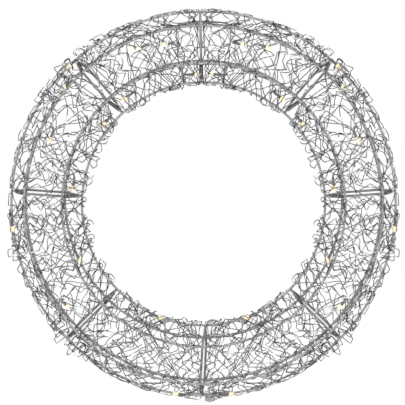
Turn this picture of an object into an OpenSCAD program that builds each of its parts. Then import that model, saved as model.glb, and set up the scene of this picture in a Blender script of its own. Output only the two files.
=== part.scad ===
// Lit wreath frame: six wire hoops welded to eight ribs, wound with crinkled wire, with a string of lamps
// Sizes are in millimetres. X runs right, Z up, the front faces -Y, and the origin is the ring's centre.

/* [Hoops] */
// Radius of the outermost hoop, to the middle of its wire
outer_hoop_r = 196; // [186:1:260]
// Radius of the two hoops at the outer edges of the front and the back
face_outer_r = 181; // [165:1:188]
// Radius of the two hoops at the inner edges of the front and the back
face_inner_r = 143; // [130:1:155]
// Radius of the innermost hoop, to the middle of its wire
inner_hoop_r = 124; // [90:1:132]
// Depth from the front hoops to the back hoops, between the middles of the wires
cage_depth = 62; // [48:1:90]
// Diameter of the hoop wire
hoop_wire_d = 2.4; // [1.6:0.1:3.4]

/* [Ribs] */
// Diameter of the rib wire
rib_wire_d = 2.4; // [1.6:0.1:3.4]
// Radius of a rib's bends, to the middle of the wire
rib_bend_r = 4; // [3:0.5:7]
// Radius by which the wire swells at a bend
bend_swell = 0.05; // [0.04:0.01:0.1]
// Depth by which a rib and a hoop are pressed into each other at a spot weld
weld_sink = 0.3; // [0.1:0.05:0.5]

/* [Crinkled wire] */
// Diameter of the crinkled wire
crinkle_d = 0.9; // [0.6:0.1:1.4]
// Turns of crinkled wire in each bay between two ribs, from the front of one rib to the back of the next
crinkle_turns = 3.5; // [1.5:1:5.5]
// Sideways reach of a kink
kink_side = 4; // [2:0.5:7]
// Outward reach of a kink where the wire goes round a hoop
kink_out = 4; // [1:0.5:6]
// Inward reach of a kink between two hoops
kink_in = 1.2; // [0:0.1:1.4]
// Clearance between the crinkled wire and a hoop
wind_gap = 0.3; // [0.2:0.05:1]
// Depth by which the end of a crinkled wire is pressed into its rib
end_sink = 0.1; // [0.05:0.05:0.2]

/* [Lamps] */
// Diameter of a lamp's bulb
bulb_d = 4; // [3:0.5:5]
// Length of a bulb, with its round tip
bulb_l = 6; // [5:0.5:9]
// Width by which the rim at a bulb's base stands out
bulb_rim = 0.25; // [0.1:0.05:0.4]
// Height of that rim
bulb_rim_h = 0.8; // [0.4:0.1:1.2]
// Diameter of the sleeve behind a bulb
neck_d = 2.8; // [2.4:0.1:3.6]
// Length of the sleeve behind a bulb
neck_l = 8; // [5:0.5:12]
// Diameter of the light source inside a bulb
chip_d = 1.4; // [0.8:0.1:1.8]
// Length of the light source inside a bulb
chip_l = 2.6; // [1.5:0.1:3]
// Clearance round the light source, and between a lamp and the wires beside it
lamp_gap = 0.15; // [0.1:0.05:0.3]

/* [Cable and lead sleeve] */
// Diameter of the cable from lamp to lamp
cable_d = 1; // [0.8:0.05:1.1]
// Clearance between the cable and a hoop that it lies on
cable_gap = 0.2; // [0.1:0.05:0.5]
// Diameter of the sleeve where the supply lead goes in
sleeve_d = 5; // [4.5:0.5:7]
// Diameter of the bore for the supply lead
lead_bore_d = 3; // [2:0.1:3.5]
// Depth of the bore for the supply lead
lead_bore_l = 8; // [5:0.5:12]
// Thickness of the closed end of the sleeve, past the bore
sleeve_end = 3; // [2:0.5:5]
// Distance of the sleeve's mouth from the middle of the ring
sleeve_x = 1.5; // [0.5:0.5:4]

/* [Hidden] */
$fn = 48;

steel = [0.46, 0.46, 0.47];
bright_wire = [0.55, 0.55, 0.56];
warm_white = [1, 0.92, 0.68];
phosphor = [0.95, 0.75, 0.25];
grey_plastic = [0.35, 0.35, 0.36];

// Angles of the ribs, from the right towards the top; the last entry closes the round
rib_angles = [91, 131.5, 176, 224.5, 270, 315.5, 364, 408.5, 451];
bays = len(rib_angles) - 1;

// The cage's section, as radius and depth: front outer, front inner, inner, back inner, back outer, outer
corners = [
  [face_outer_r, -cage_depth / 2],
  [face_inner_r, -cage_depth / 2],
  [inner_hoop_r, 0],
  [face_inner_r, cage_depth / 2],
  [face_outer_r, cage_depth / 2],
  [outer_hoop_r, 0],
];
sides = len(corners);
hoop_r = hoop_wire_d / 2;
rib_r = rib_wire_d / 2;
crinkle_r = crinkle_d / 2;
cable_r = cable_d / 2;

function unit(v) = v / norm(v);
function side_dir(i) = unit(corners[(i + 1) % sides] - corners[i % sides]);
function side_out(i) = [-side_dir(i)[1], side_dir(i)[0]];
function side_len(i) = norm(corners[(i + 1) % sides] - corners[i % sides]);
function side_before(i) = (i + sides - 1) % sides;
function corner_out(i) = unit(side_out(side_before(i)) + side_out(i));

// A point of the section, turned to its angle round the ring, and the direction along the ring there
function at(p, a) = [p[0] * cos(a), p[1], p[0] * sin(a)];
function along(a) = [-sin(a), 0, cos(a)];

// Corners of a rib's centre line before it is bent, set so that each bend lies against its hoop
weld_reach = hoop_r + rib_r - weld_sink;
// The straight wire reaches this far into a bend, where the swelling still covers it
bend_lap = sqrt(bend_swell * rib_bend_r);
function half_turn(i) = acos(side_out(side_before(i)) * side_out(i)) / 2;
// 1 at a hoop where the section bulges, and -1 where the sizes make it bend inwards
function bulge(i) = cross(side_dir(side_before(i)), side_dir(i)) < 0 ? 1 : -1;
function bend_cut(i) = bulge(i) * rib_bend_r * (1 / cos(half_turn(i)) - 1);
function rib_corner(i) = corners[i % sides] - corner_out(i % sides) * (weld_reach - bend_cut(i % sides));
function rib_dir(i) = unit(rib_corner(i + 1) - rib_corner(i));
function rib_out(i) = [-rib_dir(i)[1], rib_dir(i)[0]];
function rib_turn(i) = acos(rib_out(side_before(i)) * rib_out(i % sides));
function rib_middle(i) = (rib_corner(i) + rib_corner(i + 1)) / 2;

// The crinkled wire's round: the section grown until the wire just clears the hoops
wind_reach = hoop_r + crinkle_r + wind_gap;
function wind_corner(i) = corners[i % sides] + corner_out(i % sides) * wind_reach / cos(half_turn(i % sides));

// Kinks on each side of the section, and in one whole turn
side_kinks = 4;
turn_kinks = side_kinks * sides;
kinks = round(crinkle_turns * turn_kinks);
function wave(k, b, f) = 0.5 + 0.5 * sin(k * f + b * 71);
function kink_lift(k, b, q) = q == 0 ? kink_out * wave(k, b, 97) : -kink_in * wave(k, b, 143);
function kink_out_dir(e, q) = q == 0 ? corner_out(e) : side_out(e);
function kink_base(e, q) = wind_corner(e) + (wind_corner(e + 1) - wind_corner(e)) * q / side_kinks;
function kink_point(e, q, k, b) = kink_base(e, q) + kink_out_dir(e, q) * kink_lift(k, b, q);
function kink_shift(k, b) = kink_side * (k % 2 == 0 ? -1 : 1) * (0.35 + 0.65 * wave(k, b, 61));

// The wire keeps this far from the middle of each rib, as an arc at the innermost hoop
rib_room = kink_side + rib_r + crinkle_r + 4 * wind_gap;
bay_room = rib_room / inner_hoop_r * 180 / PI;
// The turns crowd towards one end of a bay by this power, as wire wound by hand does
function crowding(b) = 1 + 0.14 * sin(b * 145);
function bay_angle(k, b) =
  rib_angles[b] + bay_room + (rib_angles[b + 1] - rib_angles[b] - 2 * bay_room) * pow(k / kinks, crowding(b));
function kink_at(k, b) =
  let (j = (side_kinks / 2 + k) % turn_kinks, e = floor(j / side_kinks), q = j % side_kinks)
  let (p = kink_point(e, q, k, b))
  at(p, clear_of_lamps(bay_angle(k, b) + kink_shift(k, b) / p[0] * 180 / PI, p));
// A kink beside a lamp that lies on a hoop moves along the ring until it clears that lamp and its strands
function lamp_tail(s) = lamp_back + (s[2] == "outer" || s[2] == "inner" ? strand_bow : 0);
function lamp_mid_angle(s) = s[0] - s[3] * (lamp_tail(s) - bulb_l / 2) / 2 / lamp_point(s)[0] * 180 / PI;
function lamp_half(s) = (lamp_tail(s) + bulb_l / 2) / 2 + bulb_rim + crinkle_d + 2 * lamp_gap;
function lamp_half_angle(s) = lamp_half(s) / lamp_point(s)[0] * 180 / PI;
function clear_of_lamps(a, p) =
  let (near = [for (s = hoop_lamps, t = [0, 360])
    if (norm(lamp_point(s) - p) < side_len(1) / 2 && abs(a - t - lamp_mid_angle(s)) < lamp_half_angle(s))
      lamp_mid_angle(s) + t + (a - t < lamp_mid_angle(s) ? -1 : 1) * lamp_half_angle(s)])
  len(near) > 0 ? near[0] : a;

// Each end stands square on the side of a rib, straight for one diameter
function wire_end(side, a, way) =
  let (p = rib_middle(side))
  [at(p, a) + along(a) * way * (rib_r - end_sink), at(p, a) + along(a) * way * (rib_r + crinkle_d)];
function crinkle_path(b) =
  let (first = wire_end(0, rib_angles[b], 1), last = wire_end(3, rib_angles[b + 1], -1))
  [first[0], first[1], for (k = [1 : kinks - 1]) kink_at(k, b), last[1], last[0]];

// Least gap of a path to itself, measured on its points and the middles of its stretches
function halves(p) = [for (i = [0 : len(p) - 2]) each [p[i], (p[i] + p[i + 1]) / 2], p[len(p) - 1]];
function self_gap(p, d) =
  let (h = halves(p))
  min([for (i = [0 : len(h) - 8], j = [i + 7 : len(h) - 1]) norm(h[i] - h[j])]) - d;

// A round tube along a path, mitred at each point and cut square at its ends
function some_square(d) = unit(abs(d[0]) < 0.8 ? cross(d, [1, 0, 0]) : cross(d, [0, 1, 0]));
function mirrored(u, n) = u - 2 * n * (u * n);
function dirs(p) = [for (i = [0 : len(p) - 2]) unit(p[i + 1] - p[i])];
function frames(d) =
  [for (i = 0, u = some_square(d[0]); i < len(d);
        u = i + 1 < len(d) ? mirrored(u, unit(d[i] + d[i + 1])) : u, i = i + 1) u];
function ring(p, d, n, u, r, facets) =
  let (v = cross(d, u))
  [for (s = [0 : facets - 1])
    let (w = r * (cos(360 * s / facets) * u + sin(360 * s / facets) * v))
    p + w - d * (w * n) / (d * n)];
function tube_points(p, r, facets) =
  let (d = dirs(p), u = frames(d), m = len(p) - 1)
  [for (i = [0 : m])
    let (n = i == 0 ? d[0] : i == m ? d[m - 1] : unit(d[i - 1] + d[i]))
    let (h = i == 0 ? 0 : i == m ? m - 1 : i - 1)
    each ring(p[i], d[h], n, u[h], r, facets)];
function tube_faces(rings, facets) =
  let (m = (rings - 1) * facets)
  [for (i = [0 : rings - 2], s = [0 : facets - 1])
    let (a = i * facets + s, b = i * facets + (s + 1) % facets)
    each [[a, a + facets, b], [b, a + facets, b + facets]],
   for (s = [1 : facets - 2]) each [[0, s, s + 1], [m, m + s + 1, m + s]]];
module tube(p, d, facets) {
  polyhedron(tube_points(p, d / 2, facets), tube_faces(len(p), facets), convexity = 10);
}

// Lamps on the right half: angle, side of the section, share of that side or hoop, and the bulb's heading
// A lamp on a hoop lies in front of that hoop, and the others lie just inside the crinkled wire
inside = -(bulb_d / 2 + bulb_rim + lamp_gap);
beside = hoop_r + bulb_d / 2 + bulb_rim + 2 * lamp_gap;
right_lamps = [
  [-81.5, 5, "outer", 1],
  [-69.5, 1, "inner", -1],
  [-51.5, 5, 0.8, -1],
  [-37, 0, 0.24, -1],
  [-24.5, 1, 0.38, -1],
  [-7.5, 5, "outer", -1],
  [7, 1, 0.6, -1],
  [23, 0, 0.33, -1],
  [38.5, 1, 0.8, -1],
  [40, 5, 0.7, -1],
  [45.5, 5, "outer", -1],
  [53, 1, 0.59, -1],
  [67.5, 0, 0.26, -1],
  [76, 0, 0.38, -1],
  [87, 1, 0.66, 1],
];
left_lamps = [for (i = [len(right_lamps) - 1 : -1 : 0])
  let (s = right_lamps[i]) [180 - s[0], s[1], s[2], -s[3]]];
lamps = concat(right_lamps, left_lamps);
hoop_lamps = [for (s = lamps) if (s[2] == "outer" || s[2] == "inner") s];
function lamp_point(s) =
  s[2] == "outer" ? corners[5] + [0, -beside]
  : s[2] == "inner" ? corners[2] + [0, -beside]
  : corners[s[1]] + side_dir(s[1]) * side_len(s[1]) * s[2] + side_out(s[1]) * inside;

// Between two lamps the cable dips to a hoop at the back, or to the middle of the cage where it passes a rib
cable_reach = hoop_r + cable_r + cable_gap;
cage_middle = [(outer_hoop_r + inner_hoop_r) / 2, 0];
lamp_back = bulb_l / 2 + neck_l;
function lamp_rear_angle(s) = s[0] - s[3] * lamp_back / lamp_point(s)[0] * 180 / PI;
function ribs_between(a, b) = [for (r = rib_angles, t = [r - 360, r]) if (t > a && t < b) t];
function ribs_passed(i) = ribs_between(lamp_rear_angle(lamps[i]), lamp_rear_angle(lamps[i + 1]));
function touches(i, place) = lamps[i][2] == place || lamps[i + 1][2] == place;
function back_corner(i) =
  i < 0 ? 4 : touches(i, "outer") ? 3 : touches(i, "inner") ? 4 : 7 - back_corner(i - 1);
function back_seat(i) = let (c = back_corner(i)) corners[c] - corner_out(c) * cable_reach;
function goes_across(i) = touches(i, "outer") && touches(i, "inner");
function dip_point(i) =
  i < 0 ? [outer_hoop_r + sleeve_d, 0]
  : i > len(lamps) - 2 ? corners[4]
  : len(ribs_passed(i)) > 0 || goes_across(i) ? cage_middle : back_seat(i);
function dip_angle(i) =
  let (r = ribs_passed(i))
  len(r) > 0 ? r[0] : (lamp_rear_angle(lamps[i]) + lamp_rear_angle(lamps[i + 1])) / 2;

// The cable leaves the back of each neck as two strands, each on the side that it dips to
strand_step = (neck_d - cable_d - lamp_gap) / 2;
strand_bow = lamp_back;
function strand_side(i, way) = (dip_point(i) - dip_point(i - 1)) * side_dir(lamps[i][1]) > 0 ? way : -way;
function strand_end(i, way) =
  let (s = lamps[i], p = lamp_point(s) + side_dir(s[1]) * strand_step * strand_side(i, way))
  at(p, s[0]) - along(s[0]) * s[3] * lamp_back;
// From a lamp on a hoop the strands bow into the cage, past that hoop
function bow_in(s) = s[2] == "outer" ? -strand_bow : s[2] == "inner" ? strand_bow : 0;
function strand_out(i, way) =
  let (s = lamps[i])
  strand_end(i, way) - along(s[0]) * s[3] * strand_bow + at([bow_in(s), 0], s[0]);
function curve(p, q, r, s, t) =
  p * pow(1 - t, 3) + q * 3 * t * pow(1 - t, 2) + r * 3 * t * t * (1 - t) + s * pow(t, 3);
span_rings = 6;
function span_path(i) =
  let (p = strand_end(i, 1), q = strand_out(i, 1), r = strand_out(i + 1, -1), s = strand_end(i + 1, -1))
  let (m = at(dip_point(i), dip_angle(i)), g = (s - p) / 5)
  [for (t = [0 : span_rings - 1]) curve(p, q, m - g, m, t / span_rings),
   for (t = [0 : span_rings]) curve(m, m + g, r, s, t / span_rings)];

// The lead sleeve lies under the outermost hoop, and the first strand runs from it to the first lamp
sleeve_l = lead_bore_l + sleeve_end;
sleeve_z = -(outer_hoop_r + hoop_r + sleeve_d / 2 + cable_gap);
function lead_path() =
  let (p = [sleeve_x + sleeve_l, 0, sleeve_z], s = strand_end(0, -1))
  let (g = norm(s - p) / 3, back = along(lamps[0][0]) * lamps[0][3] * g)
  [for (t = [0 : span_rings]) curve(p, p + [g, 0, 0], s - back, s, t / span_rings)];

module hoop(i) {
  color(steel) translate([0, corners[i][1], 0]) rotate([90, 0, 0]) rotate_extrude($fn = 180)
    translate([corners[i][0], 0]) circle(d = hoop_wire_d);
}

module rib(i) {
  color(steel) rotate([0, -rib_angles[i], 0]) for (s = [0 : sides - 1]) {
    start = rib_corner(s) + rib_dir(s) * rib_bend_r * tan(rib_turn(s) / 2);
    end = rib_corner(s + 1) - rib_dir(s) * rib_bend_r * tan(rib_turn((s + 1) % sides) / 2);
    inward = -bulge(s) * unit(rib_out(side_before(s)) + rib_out(s));
    bend = rib_corner(s) + inward * rib_bend_r / cos(rib_turn(s) / 2);
    bend_start = bulge(s) > 0 ? rib_out(s) : -rib_out(side_before(s));
    translate(start - rib_dir(s) * bend_lap) rotate([0, 90, atan2(rib_dir(s)[1], rib_dir(s)[0])])
      cylinder(d = rib_wire_d, h = norm(end - start) + 2 * bend_lap);
    translate(bend) rotate([0, 0, atan2(bend_start[1], bend_start[0])])
      rotate_extrude(angle = rib_turn(s)) translate([rib_bend_r, 0]) circle(d = rib_wire_d + 2 * bend_swell);
  }
}

module crinkle_wire(b) {
  color(bright_wire) tube(crinkle_path(b), crinkle_d, 6);
}

module on_lamps() {
  for (s = lamps) rotate([0, -s[0], 0]) translate([lamp_point(s)[0], lamp_point(s)[1], 0])
    rotate([s[3] > 0 ? 0 : 180, 0, 0]) translate([0, 0, -bulb_l / 2]) children();
}

module led_bulbs() {
  color(warm_white) on_lamps() difference() {
    union() {
      cylinder(d = bulb_d, h = bulb_l - bulb_d / 2);
      translate([0, 0, bulb_l - bulb_d / 2]) sphere(d = bulb_d);
      cylinder(d = bulb_d + 2 * bulb_rim, h = bulb_rim_h);
    }
    translate([0, 0, -1]) cylinder(d = chip_d + 2 * lamp_gap, h = chip_l + lamp_gap + 1);
  }
}

module led_chips() {
  color(phosphor) on_lamps() cylinder(d = chip_d, h = chip_l);
}

module led_necks() {
  color(grey_plastic) on_lamps() translate([0, 0, -neck_l]) cylinder(d = neck_d, h = neck_l);
}

module string_cable() {
  color(grey_plastic) {
    tube(lead_path(), cable_d, 8);
    for (i = [0 : len(lamps) - 2]) tube(span_path(i), cable_d, 8);
  }
}

module lead_sleeve() {
  color(grey_plastic) translate([sleeve_x, 0, sleeve_z]) rotate([0, 90, 0]) difference() {
    cylinder(d = sleeve_d, h = sleeve_l);
    translate([0, 0, -1]) cylinder(d = lead_bore_d, h = lead_bore_l + 1);
  }
}

echo("least gap of each crinkled wire to itself, in mm",
     [for (b = [0 : bays - 1]) round(self_gap(crinkle_path(b), crinkle_d) * 100) / 100]);

hoop(5);  // outer_hoop
hoop(0);  // front_outer_hoop
hoop(1);  // front_inner_hoop
hoop(2);  // inner_hoop
hoop(3);  // back_inner_hoop
hoop(4);  // back_outer_hoop
rib(0);  // rib_1
rib(1);  // rib_2
rib(2);  // rib_3
rib(3);  // rib_4
rib(4);  // rib_5
rib(5);  // rib_6
rib(6);  // rib_7
rib(7);  // rib_8
crinkle_wire(0);  // crinkle_wire_1
crinkle_wire(1);  // crinkle_wire_2
crinkle_wire(2);  // crinkle_wire_3
crinkle_wire(3);  // crinkle_wire_4
crinkle_wire(4);  // crinkle_wire_5
crinkle_wire(5);  // crinkle_wire_6
crinkle_wire(6);  // crinkle_wire_7
crinkle_wire(7);  // crinkle_wire_8
led_bulbs();
led_chips();
led_necks();
string_cable();
lead_sleeve();
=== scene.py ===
# %% [markdown]
# # A lit wire wreath
# A ring-shaped cage of galvanised wire has six hoops, welded to eight bent ribs. Thin crinkled wire is
# wound round it by hand, and a string of small warm lamps runs through it. The hoops and ribs come from
# the CAD frame, and some are set a little out of true. Wound wire, lamps, cable and welds are made here.

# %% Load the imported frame
import math
import random

import bpy
import numpy as np
from mathutils import Matrix, Vector


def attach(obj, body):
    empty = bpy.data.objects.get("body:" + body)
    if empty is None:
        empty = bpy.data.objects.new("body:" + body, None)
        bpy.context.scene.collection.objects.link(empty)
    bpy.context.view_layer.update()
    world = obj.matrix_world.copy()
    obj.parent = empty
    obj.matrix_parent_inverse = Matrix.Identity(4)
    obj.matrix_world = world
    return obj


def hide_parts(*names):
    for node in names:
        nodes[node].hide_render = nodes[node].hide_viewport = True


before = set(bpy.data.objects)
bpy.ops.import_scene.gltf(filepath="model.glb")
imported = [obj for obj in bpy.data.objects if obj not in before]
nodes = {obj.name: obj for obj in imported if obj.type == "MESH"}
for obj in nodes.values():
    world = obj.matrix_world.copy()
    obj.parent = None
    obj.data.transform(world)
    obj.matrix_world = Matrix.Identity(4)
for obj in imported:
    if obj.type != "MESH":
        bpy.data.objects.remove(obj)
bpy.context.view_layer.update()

# %% [markdown]
# ## The cage's own sizes
# The part's source gives the ring's section as six corners, each a radius and a depth in millimetres. One
# hoop runs through each corner. What is wound on the cage takes its place from these same numbers, so it
# lies against the CAD wires with no fitting by eye.

# %% Section of the cage
# Lengths are in millimetres and angles in degrees, where nothing else is said. Blender takes metres.
MM = 0.001
# Radii of the wires and the cable
HOOP_R = 1.2
RIB_R = 1.2
CRINKLE_R = 0.45
CABLE_R = 0.5
# Radius and depth of each hoop, in the order in which a rib goes round them. A side of the section has the
# number of the corner where it starts.
CORNERS = np.array([(181, -31), (143, -31), (124, 0), (143, 31), (181, 31), (196, 0)], float)
FRONT_OUTER, FRONT_INNER, INNERMOST, BACK_INNER, BACK_OUTER, OUTERMOST = range(6)
SIDES = len(CORNERS)
# Angles of the ribs, from the top round to the left, and the top one again at the end
RIB_ANGLES = [91, 131.5, 176, 224.5, 270, 315.5, 364, 408.5, 451]
RIB_BEND_R = 4
# Depth by which two wires are pressed into each other at a weld
WELD_SINK = 0.3


def unit(v):
    v = np.asarray(v, float)
    return v / np.linalg.norm(v)


side_step = np.roll(CORNERS, -1, axis=0) - CORNERS
side_len = np.array([np.linalg.norm(step) for step in side_step])
side_dir = side_step / side_len[:, None]
side_out = np.stack([-side_dir[:, 1], side_dir[:, 0]], axis=1)
corner_out = np.array([unit(side_out[i - 1] + side_out[i]) for i in range(SIDES)])
corner_cos = np.array([corner_out[i] @ side_out[i] for i in range(SIDES)])


def on_ring(p, angle):
    """A point of the section, turned to its angle round the ring."""
    a = math.radians(angle)
    return np.array([p[0] * math.cos(a), p[1], p[0] * math.sin(a)])


def along_ring(angle):
    """The direction that runs along the hoops at an angle."""
    a = math.radians(angle)
    return np.array([-math.sin(a), 0.0, math.cos(a)])


print("section sides in mm:", side_len.round(1))

# %% [markdown]
# ## Camera, floor and light
# The ring was photographed from the front and a little above, with a long lens: its front and back
# hoops nearly coincide. The page behind it is white. The world is white to the camera and to reflections,
# and dimmer as a light, so that the studio lights set the shading. The floor lies well below the ring,
# which hangs, and it keeps a soft shadow.


# %% Camera
def placed(name, data):
    """A new object in the scene."""
    piece = bpy.data.objects.new(name, data)
    bpy.context.scene.collection.objects.link(piece)
    return piece


# Width of the picture at the ring, the camera's distance, and the point that it looks at, in metres
VIEW_WIDTH = 0.4131
VIEW_DISTANCE = 2.6
target = Vector((-0.0011, 0, 0.0016))
VIEW_ELEVATION = math.radians(2.6)
SENSOR = 36.0
camera_data = bpy.data.cameras.new("camera")
camera_data.sensor_width = SENSOR
camera_data.lens = SENSOR * VIEW_DISTANCE / VIEW_WIDTH
camera = placed("camera", camera_data)
camera.location = target + VIEW_DISTANCE * Vector((0, -math.cos(VIEW_ELEVATION), math.sin(VIEW_ELEVATION)))
camera.rotation_euler = (math.pi / 2 - VIEW_ELEVATION, 0, 0)
bpy.context.scene.camera = camera
print("lens: %.1f mm" % camera_data.lens)


# %% Helpers for materials
def colour(hex_value):
    """A colour written as sRGB hex, as linear values with full alpha."""
    parts = [int(hex_value[i:i + 2], 16) / 255 for i in (1, 3, 5)]
    linear = [c / 12.92 if c <= 0.04045 else ((c + 0.055) / 1.055) ** 2.4 for c in parts]
    return (*linear, 1.0)


def feed(tree, node, inputs):
    """Gives a node its inputs: a socket is linked, and a value is set."""
    for name, value in inputs.items():
        if isinstance(value, bpy.types.NodeSocket):
            tree.links.new(value, node.inputs[name])
        else:
            node.inputs[name].default_value = value


def add_node(tree, kind, inputs=None, **settings):
    """Adds a node with its settings and inputs."""
    new = tree.nodes.new("ShaderNode" + kind)
    for name, value in settings.items():
        setattr(new, name, value)
    feed(tree, new, inputs or {})
    return new


def new_material(name):
    print("finish:", name)
    material = bpy.data.materials.new(name)
    material.use_nodes = True
    tree = material.node_tree
    return material, tree, tree.nodes["Principled BSDF"]


# %% Values in materials
def maths(tree, operation, a, b):
    return add_node(tree, "Math", {0: a, 1: b}, operation=operation).outputs[0]


def speckle(tree, size_mm, detail):
    """Noise with spots of a given size."""
    place = add_node(tree, "TexCoord").outputs["Object"]
    noise = {"Vector": place, "Scale": 1 / (size_mm * MM), "Detail": detail}
    return add_node(tree, "TexNoise", noise).outputs["Fac"]


def spread(tree, value, low, high, to_low, to_high):
    """A value between two limits, moved between two others."""
    limits = {"From Min": low, "From Max": high, "To Min": to_low, "To Max": to_high}
    return add_node(tree, "MapRange", {"Value": value, **limits}).outputs[0]


def relief(tree, height, strength, depth_mm):
    """The bumps that a height makes in a surface."""
    bump = {"Height": height, "Strength": strength, "Distance": depth_mm * MM}
    return add_node(tree, "Bump", bump).outputs["Normal"]


def tones(tree, value, *stops):
    """A ramp of colours along a value; each stop is a position and a hex colour."""
    ramp = add_node(tree, "ValToRGB", {"Fac": value})
    elements = ramp.color_ramp.elements
    for element, (position, hex_value) in zip(elements, (stops[0], stops[-1])):
        element.position = position
        element.color = colour(hex_value)
    for position, hex_value in stops[1:-1]:
        elements.new(position).color = colour(hex_value)
    return ramp.outputs["Color"]


# %% World and lights
# Strength of the white world as a light, where 1 is its strength to the camera
AMBIENT = 0.22
world = bpy.data.worlds.new("studio")
bpy.context.scene.world = world
world.use_nodes = True
tree = world.node_tree
rays = add_node(tree, "LightPath").outputs
seen = maths(tree, "MAXIMUM", rays["Is Camera Ray"], rays["Is Glossy Ray"])
shown = maths(tree, "MAXIMUM", seen, rays["Is Transmission Ray"])
strength = spread(tree, shown, 0, 1, AMBIENT, 1)
feed(tree, tree.nodes["Background"], {"Color": (1, 1, 1, 1), "Strength": strength})


def soft_box(name, place, size, watts):
    """A square studio light that faces the middle of the ring; its place and size are in metres."""
    light = bpy.data.lights.new(name, "AREA")
    light.shape = "SQUARE"
    light.size = size
    light.energy = watts
    lamp = placed(name, light)
    lamp.location = place
    lamp.rotation_euler = (-Vector(place)).to_track_quat("-Z", "Y").to_euler()


soft_box("front", (-0.15, -3.0, 0.35), 0.9, 60)
soft_box("key", (-0.9, -2.2, 1.5), 0.9, 20)
soft_box("fill", (1.5, -1.8, 0.3), 1.1, 10)
soft_box("rear", (0.3, 2.0, 1.3), 1.0, 26)
bpy.context.scene.view_settings.view_transform = "Standard"
print("lights:", len(bpy.data.lights))

# %% Floor
# Height and width of the floor, in metres
FLOOR_Z = -0.6
FLOOR_SIZE = 14
# To the camera the paper is lit to white, and a tenth of its own shading is left, so that a shadow shows
PAPER_LIGHT = 1.1
LIT_SHARE = 0.9
bpy.ops.mesh.primitive_plane_add(size=FLOOR_SIZE, location=(0, 0, FLOOR_Z))
floor = bpy.context.object
floor.name = "floor"
# Studio paper off the roll: matt and evenly white, so that it shows as nothing but light
paper, tree, shader = new_material("seamless_paper")
feed(tree, shader, {"Base Color": colour("#f2f2f2"), "Roughness": 0.9})
rays = add_node(tree, "LightPath").outputs
share = maths(tree, "MULTIPLY", rays["Is Camera Ray"], LIT_SHARE)
white = add_node(tree, "Emission", {"Strength": PAPER_LIGHT}).outputs[0]
lit = add_node(tree, "MixShader", {0: share, 1: shader.outputs[0], 2: white}).outputs[0]
feed(tree, tree.nodes["Material Output"], {"Surface": lit})
floor.data.materials.append(paper)

# %% [markdown]
# ## Galvanised hoops and ribs
# The hoops and ribs are mild steel wire, dipped in zinc after welding. Zinc dulls to a mid grey with a
# cloudy spangle a few millimetres across and a fine grain. The meshes come from CAD, so what they need is
# this finish: a coat whose grey and gloss wander together.

# %% Wire finish
# Size and depth of the grain in the zinc
GRAIN_SIZE = 0.5
GRAIN_DEPTH = 0.1


def zinc_wire(name, dark, light, cloud_mm=4.0, rough=(0.36, 0.5), bump=0.2, metal=0.15):
    """Zinc-coated steel wire: clouded grey with a satin gloss and a faint grain."""
    material, tree, shader = new_material(name)
    cloud = speckle(tree, cloud_mm, 3.0)
    grain = speckle(tree, GRAIN_SIZE, 2.0)
    feed(tree, shader, {"Base Color": tones(tree, cloud, (0.34, dark), (0.68, light)),
                        "Roughness": spread(tree, cloud, 0.3, 0.7, rough[1], rough[0]),
                        "Normal": relief(tree, grain, bump, GRAIN_DEPTH),
                        "Metallic": metal, "Specular IOR Level": 0.25})
    return material


def dress(piece, finish):
    """Gives a piece one material."""
    piece.data.materials.clear()
    piece.data.materials.append(finish)


# Zinc from the bath, dulled by air to a satin grey with soft clouds
hoop_finish = zinc_wire("galvanised_hoop_wire", "#7a7a7a", "#9f9e9d")
# The ribs got less zinc at their many bends, and look a shade darker
rib_finish = zinc_wire("galvanised_rib_wire", "#727272", "#959493")
HOOPS = [name for name in nodes if name.endswith("_hoop")]
RIBS = sorted(name for name in nodes if name.startswith("rib_"))
for names, finish in ((HOOPS, hoop_finish), (RIBS, rib_finish)):
    for name in names:
        dress(nodes[name], finish)
print("finished", len(HOOPS), "hoops and", len(RIBS), "ribs")

# %% [markdown]
# ## A cage a little out of true
# The cage was welded by hand. Its back inner hoop sits a few millimetres high and its back outer hoop came
# out a little wide, so that the inner hoops part at the bottom of the picture. One function moves any point
# of the true cage as the hoops beside it are moved, so ribs, wire and welds still meet those hoops.

# %% Out of true
# How far the back inner hoop sits above the ring's centre, and what the back outer hoop gains in radius
BACK_INNER_RISE = 3.5
BACK_OUTER_GROWTH = 2.5


def out_of_true(points):
    """Points of the true cage, moved along the radius with the back hoops."""
    points = np.array(points, float)
    radius = np.hypot(points[:, 0], points[:, 2])
    back = np.clip(points[:, 1] / CORNERS[BACK_INNER][1], 0, 1)
    outer = np.clip((radius - CORNERS[BACK_INNER][0]) / side_len[BACK_INNER], 0, 1)
    shift = back * ((1 - outer) * BACK_INNER_RISE * points[:, 2] / radius + outer * BACK_OUTER_GROWTH)
    points[:, ::2] *= (1 + shift / radius)[:, None]
    return points


# %% Helpers for new pieces
# Points closer than this are one point
MERGE_GAP = 0.002


def keep(piece, slot, *replaced):
    """A finished piece rides on the one body, and may stand for CAD nodes."""
    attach(piece, "root")
    if replaced:
        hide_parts(*replaced)
    print(piece.name, "faces:", len(piece.data.polygons))


def select_only(piece):
    bpy.ops.object.select_all(action="DESELECT")
    piece.select_set(True)
    bpy.context.view_layer.objects.active = piece


def edit_all():
    """Goes into edit mode with all of the piece selected."""
    bpy.ops.object.mode_set(mode="EDIT")
    bpy.ops.mesh.select_all(action="SELECT")


def edit_done():
    bpy.ops.object.mode_set(mode="OBJECT")


def steps_along(route):
    """The distance along a route at each of its points."""
    return np.r_[0, np.cumsum(np.linalg.norm(np.diff(route, axis=0), axis=1))]


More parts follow.
